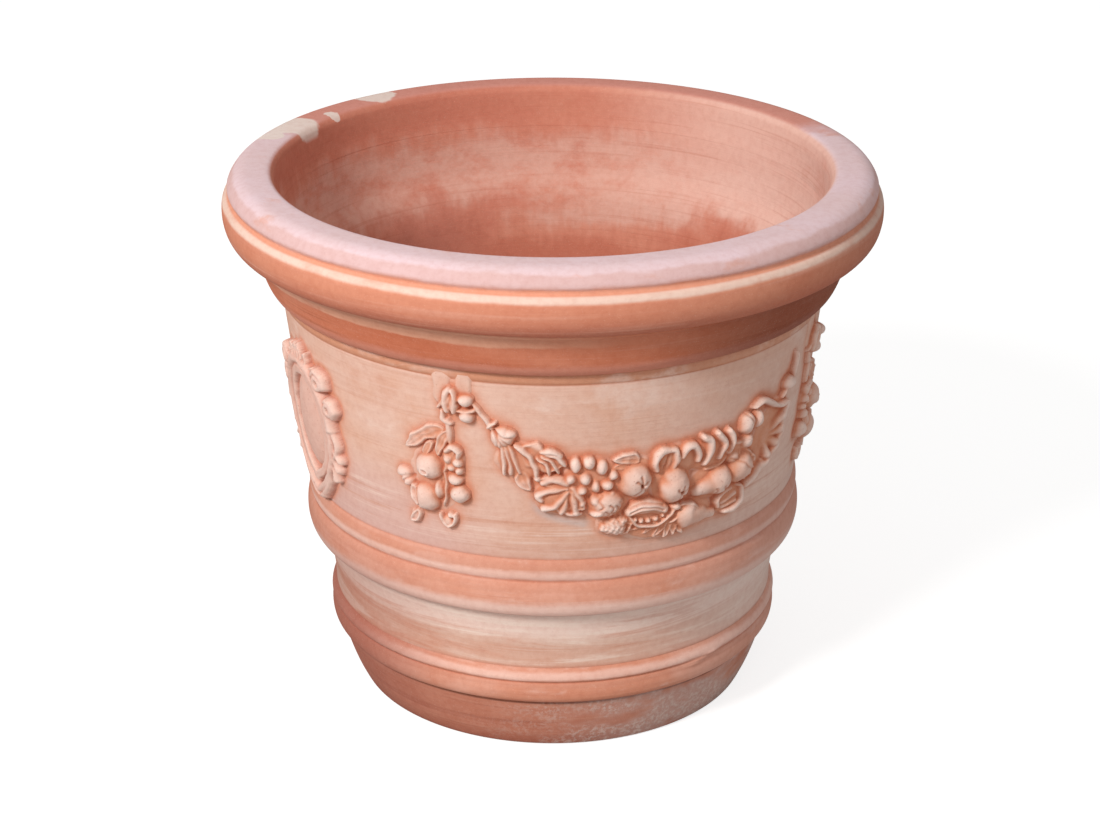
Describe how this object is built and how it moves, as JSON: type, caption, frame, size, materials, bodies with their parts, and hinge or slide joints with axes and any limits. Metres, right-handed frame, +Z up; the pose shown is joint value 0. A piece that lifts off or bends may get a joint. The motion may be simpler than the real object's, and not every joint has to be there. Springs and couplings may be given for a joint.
{
  "type": "planter",
  "caption": "Large round terracotta garden planter with a rolled rim, applied bands, fruit swags and a drain hole.",
  "frame": {"origin": "centre of the circle that the planter stands on, at floor level", "axes": "+Z up along the planter's axis; -Y is the front, the side that the picture was taken from"},
  "size_m": [0.6, 0.6, 0.499],
  "materials": {
    "clay_rim": "matte",
    "clay_collar": "matte",
    "clay_wall": "matte",
    "clay_band": "matte",
    "clay_heel": "matte",
    "clay_relief": "matte"
  },
  "bodies": {
    "root": {"floor_slab": "clay_heel", "heel_wall": "clay_heel", "lower_wall": "clay_wall", "upper_wall": "clay_wall", "collar": "clay_collar", "rim_ring": "clay_rim", "low_band": "clay_band", "mid_band": "clay_band", "knot_front_left": "clay_relief", "drop_front_left": "clay_relief", "knot_front_right": "clay_relief", "drop_front_right": "clay_relief", "knot_back_right": "clay_relief", "drop_back_right": "clay_relief", "knot_back_left": "clay_relief", "drop_back_left": "clay_relief", "front_swag_apple": "clay_relief", "front_swag_pear": "clay_relief", "front_swag_quince": "clay_relief", "front_swag_peach": "clay_relief", "front_swag_pomegranate": "clay_relief", "front_swag_lemon": "clay_relief", "front_swag_pod": "clay_relief", "front_swag_cone": "clay_relief", "front_swag_grapes": "clay_relief", "front_swag_bellflower": "clay_relief", "front_swag_leaf_spray": "clay_relief", "front_swag_vine_leaf": "clay_relief", "front_swag_leaf_fan": "clay_relief", "front_swag_bud": "clay_relief", "front_swag_end_bud": "clay_relief", "front_swag_tall_leaf": "clay_relief", "front_swag_curled_leaves": "clay_relief", "back_swag_apple": "clay_relief", "back_swag_pear": "clay_relief", "back_swag_quince": "clay_relief", "back_swag_peach": "clay_relief", "back_swag_pomegranate": "clay_relief", "back_swag_lemon": "clay_relief", "back_swag_pod": "clay_relief", "back_swag_cone": "clay_relief", "back_swag_grapes": "clay_relief", "back_swag_bellflower": "clay_relief", "back_swag_leaf_spray": "clay_relief", "back_swag_vine_leaf": "clay_relief", "back_swag_leaf_fan": "clay_relief", "back_swag_bud": "clay_relief", "back_swag_end_bud": "clay_relief", "back_swag_tall_leaf": "clay_relief", "back_swag_curled_leaves": "clay_relief", "left_cartouche_frame": "clay_relief", "left_cartouche_shield": "clay_relief", "right_cartouche_frame": "clay_relief", "right_cartouche_shield": "clay_relief"}
  },
  "joints": []
}
